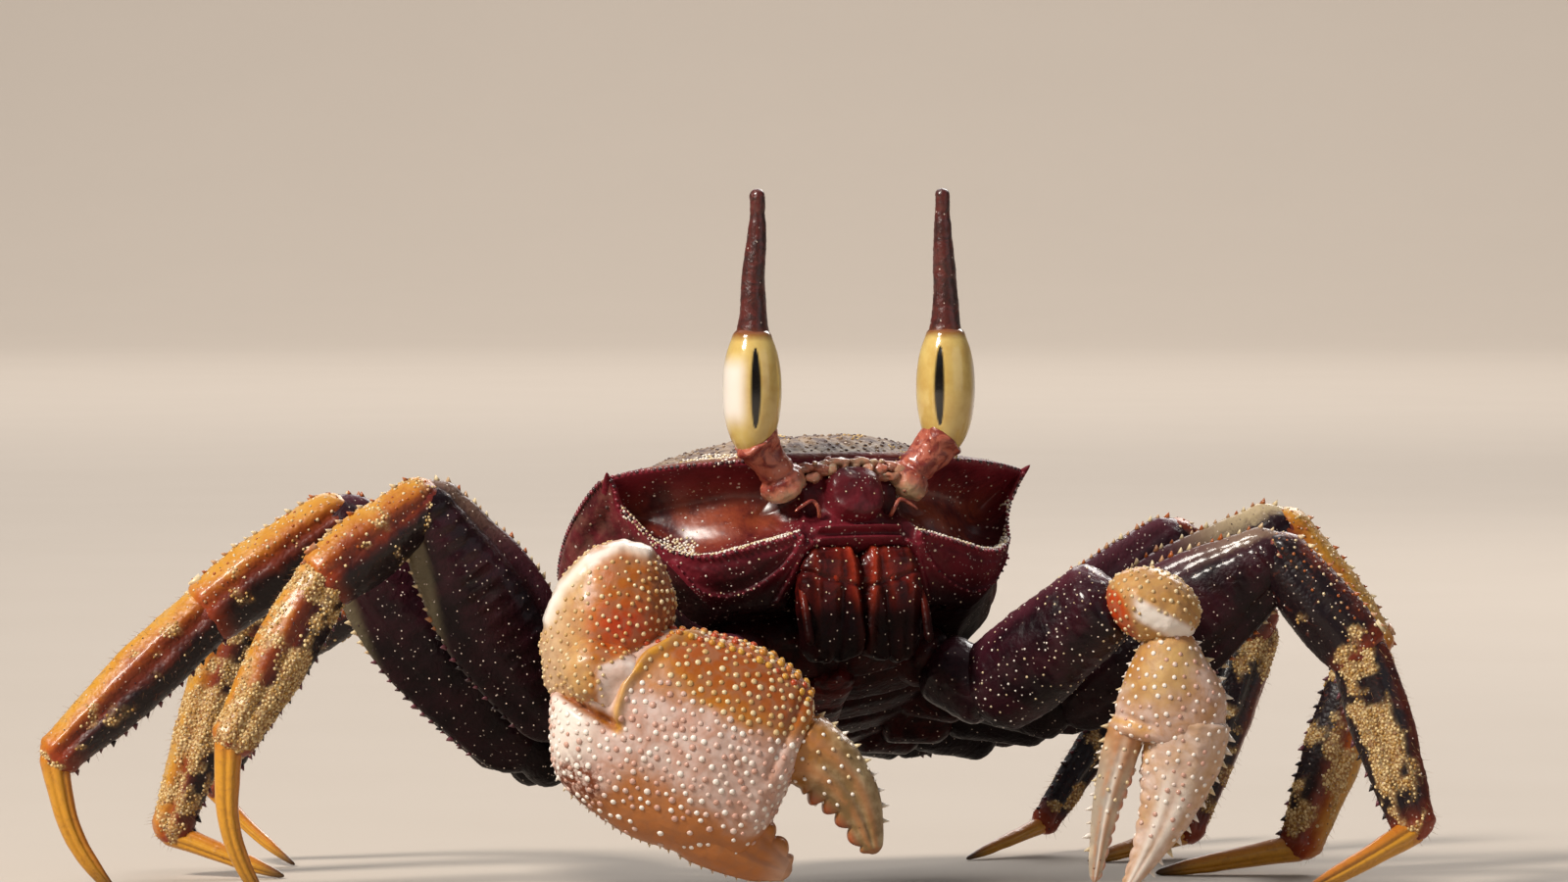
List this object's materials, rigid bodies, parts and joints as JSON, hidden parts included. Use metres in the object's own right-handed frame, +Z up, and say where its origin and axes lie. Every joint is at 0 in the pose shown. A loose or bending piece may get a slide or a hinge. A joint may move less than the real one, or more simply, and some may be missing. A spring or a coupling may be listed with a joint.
{
  "type": "ghost crab",
  "caption": "Life-size horned ghost crab standing with its front raised, stalked eyes up and one large pale claw held low before its mouth.",
  "frame": {"origin": "middle of the crab's bounding box in plan, on the ground under its toes", "axes": "+X towards the crab's own left side, +Y towards its tail, +Z up"},
  "size_m": [0.1516, 0.0962, 0.0762],
  "materials": {
    "shell": "satin, wet and finely grained",
    "belly": "satin",
    "thigh": "satin with pale grains",
    "shank": "satin with sand and short hair",
    "toe": "satin",
    "claw": "satin with pale granules",
    "finger": "smooth satin",
    "stalk": "satin",
    "cornea": "glossy",
    "horn": "glossy"
  },
  "bodies": {
    "root": {"carapace": "shell", "underbody": "belly", "abdomen": "belly", "maxilliped_right": "belly", "maxilliped_left": "belly", "antenna_right": "belly", "antenna_left": "belly", "eyestalk_right": "stalk", "eyestalk_left": "stalk", "eye_right": "cornea", "eye_left": "cornea", "horn_right": "horn", "horn_left": "horn", "claw_right_ischium": "thigh", "claw_right_merus": "thigh", "claw_right_carpus": "claw", "claw_right_palm": "claw", "claw_right_finger": "finger", "claw_left_ischium": "thigh", "claw_left_merus": "thigh", "claw_left_carpus": "claw", "claw_left_palm": "claw", "claw_left_finger": "finger", "leg_right_p2_merus": "thigh", "leg_right_p2_carpus": "shank", "leg_right_p2_propodus": "shank", "leg_right_p2_dactyl": "toe", "leg_right_p3_merus": "thigh", "leg_right_p3_carpus": "shank", "leg_right_p3_propodus": "shank", "leg_right_p3_dactyl": "toe", "leg_right_p4_merus": "thigh", "leg_right_p4_carpus": "shank", "leg_right_p4_propodus": "shank", "leg_right_p4_dactyl": "toe", "leg_right_p5_merus": "thigh", "leg_right_p5_carpus": "shank", "leg_right_p5_propodus": "shank", "leg_right_p5_dactyl": "toe", "leg_left_p2_merus": "thigh", "leg_left_p2_carpus": "shank", "leg_left_p2_propodus": "shank", "leg_left_p2_dactyl": "toe", "leg_left_p3_merus": "thigh", "leg_left_p3_carpus": "shank", "leg_left_p3_propodus": "shank", "leg_left_p3_dactyl": "toe", "leg_left_p4_merus": "thigh", "leg_left_p4_carpus": "shank", "leg_left_p4_propodus": "shank", "leg_left_p4_dactyl": "toe", "leg_left_p5_merus": "thigh", "leg_left_p5_carpus": "shank", "leg_left_p5_propodus": "shank", "leg_left_p5_dactyl": "toe"}
  },
  "joints": []
}
